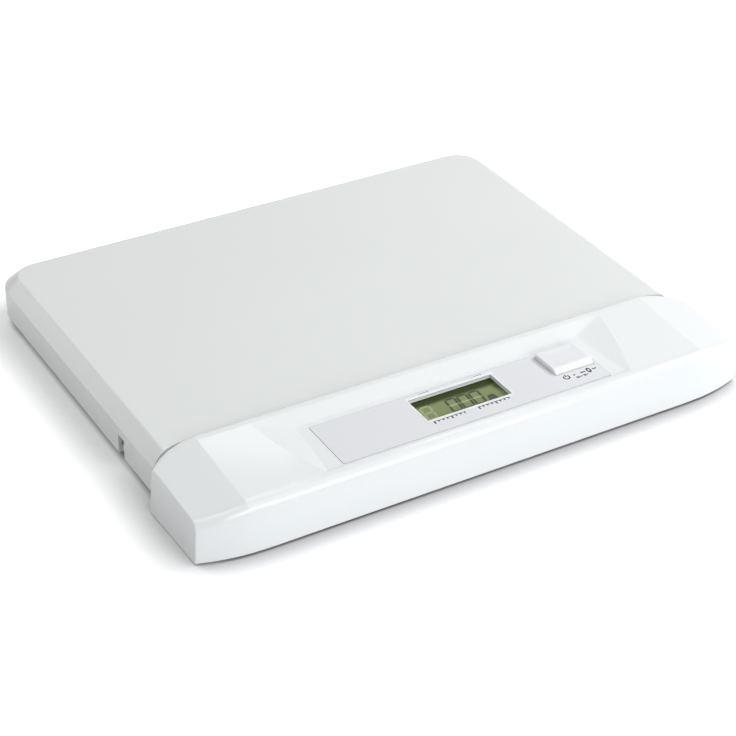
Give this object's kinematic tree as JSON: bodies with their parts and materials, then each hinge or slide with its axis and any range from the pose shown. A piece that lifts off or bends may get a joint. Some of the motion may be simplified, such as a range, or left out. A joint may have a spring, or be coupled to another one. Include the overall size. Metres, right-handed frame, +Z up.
{
  "type": "digital baby weighing scale",
  "caption": "Low white scale with a wide bevelled weighing platform behind a swept control housing with a recessed panel, a display and one key.",
  "frame": {"origin": "middle of the bounding box in plan, on the plane that the feet stand on", "axes": "+X to the right as the person reading the display sees it, +Y to the back, from the display towards the platform, +Z up"},
  "size_m": [0.3704, 0.3018, 0.036],
  "materials": {
    "housing_white": "glossy injection-moulded white plastic",
    "platform_white": "satin moulded off-white plastic with a fine grain",
    "tray_white": "plain moulded white plastic",
    "label_grey": "thin light grey panel label with a satin face",
    "display_green": "grey-green reflective display cell",
    "board_green": "green solder mask",
    "chip_black": "black moulded chip package",
    "silicone_grey": "grey silicone",
    "gauge_silicone": "white silicone poured over the strain gauges",
    "foot_rubber": "black rubber",
    "cable_grey": "grey cable jacket",
    "lead_red": "red wire insulation",
    "lead_black": "black wire insulation",
    "battery_sleeve": null,
    "nickel_plate": "nickel-plated spring steel",
    "zinc_steel": "zinc-plated steel",
    "galvanised_plate": "galvanised sheet steel",
    "load_cell_aluminium": "machined aluminium",
    "brass": "turned brass"
  },
  "bodies": {
    "base": {"base_tray": "tray_white", "front_housing": "housing_white", "control_label": "label_grey", "lcd_module": "display_green", "lcd_strip_front": "silicone_grey", "lcd_strip_back": "silicone_grey", "lcd_frame": "tray_white", "circuit_board": "board_green", "controller_chip": "chip_black", "cable_socket": "tray_white", "board_screw_1": "zinc_steel", "board_screw_2": "zinc_steel", "board_screw_3": "zinc_steel", "board_screw_4": "zinc_steel", "key_dome": "silicone_grey", "battery_1": "battery_sleeve", "battery_2": "battery_sleeve", "battery_3": "battery_sleeve", "battery_4": "battery_sleeve", "battery_contact_1": "nickel_plate", "battery_contact_2": "nickel_plate", "battery_contact_3": "nickel_plate", "battery_contact_4": "nickel_plate", "battery_contact_5": "nickel_plate", "foot_front_left": "foot_rubber", "foot_front_right": "foot_rubber", "foot_rear_left": "foot_rubber", "foot_rear_right": "foot_rubber", "housing_screw_1": "zinc_steel", "housing_screw_2": "zinc_steel", "housing_screw_3": "zinc_steel", "housing_screw_4": "zinc_steel", "housing_screw_5": "zinc_steel", "housing_screw_6": "zinc_steel", "load_cell": "load_cell_aluminium", "gauge_seal": "gauge_silicone", "load_cell_shim": "zinc_steel", "load_cell_screw_1": "zinc_steel", "load_cell_screw_2": "zinc_steel", "overload_stop_1": "brass", "overload_stop_2": "brass", "overload_stop_3": "brass", "overload_stop_4": "brass", "load_cell_cable": "cable_grey", "battery_lead_1": "lead_red", "battery_lead_2": "lead_black"},
    "platform": {"platform_cover": "platform_white", "platform_frame": "galvanised_plate", "load_cell_spacer": "zinc_steel", "frame_screw_1": "zinc_steel", "frame_screw_2": "zinc_steel", "platform_screw_1": "zinc_steel", "platform_screw_2": "zinc_steel", "platform_screw_3": "zinc_steel", "platform_screw_4": "zinc_steel"},
    "key": {"tare_key": "housing_white"},
    "door": {"battery_door": "tray_white"}
  },
  "joints": [
    {"name": "platform_slide", "type": "slide", "parent": "base", "child": "platform", "axis": [0, 0, -1], "range_m": [0, 0.0005], "stiffness_N_per_m": 390000, "springref_m": -0.0001, "deforming": ["load_cell"]},
    {"name": "tare_key_slide", "type": "slide", "parent": "base", "child": "key", "axis": [0, 0, -1], "range_m": [0, 0.0012], "stiffness_N_per_m": 400, "springref_m": -0.002, "deforming": ["key_dome"]},
    {"name": "battery_door_hinge", "type": "hinge", "parent": "base", "child": "door", "pos_m": [-0.084, -0.0866, 0.002], "axis": [1, 0, 0], "range_deg": [0, 75]}
  ]
}
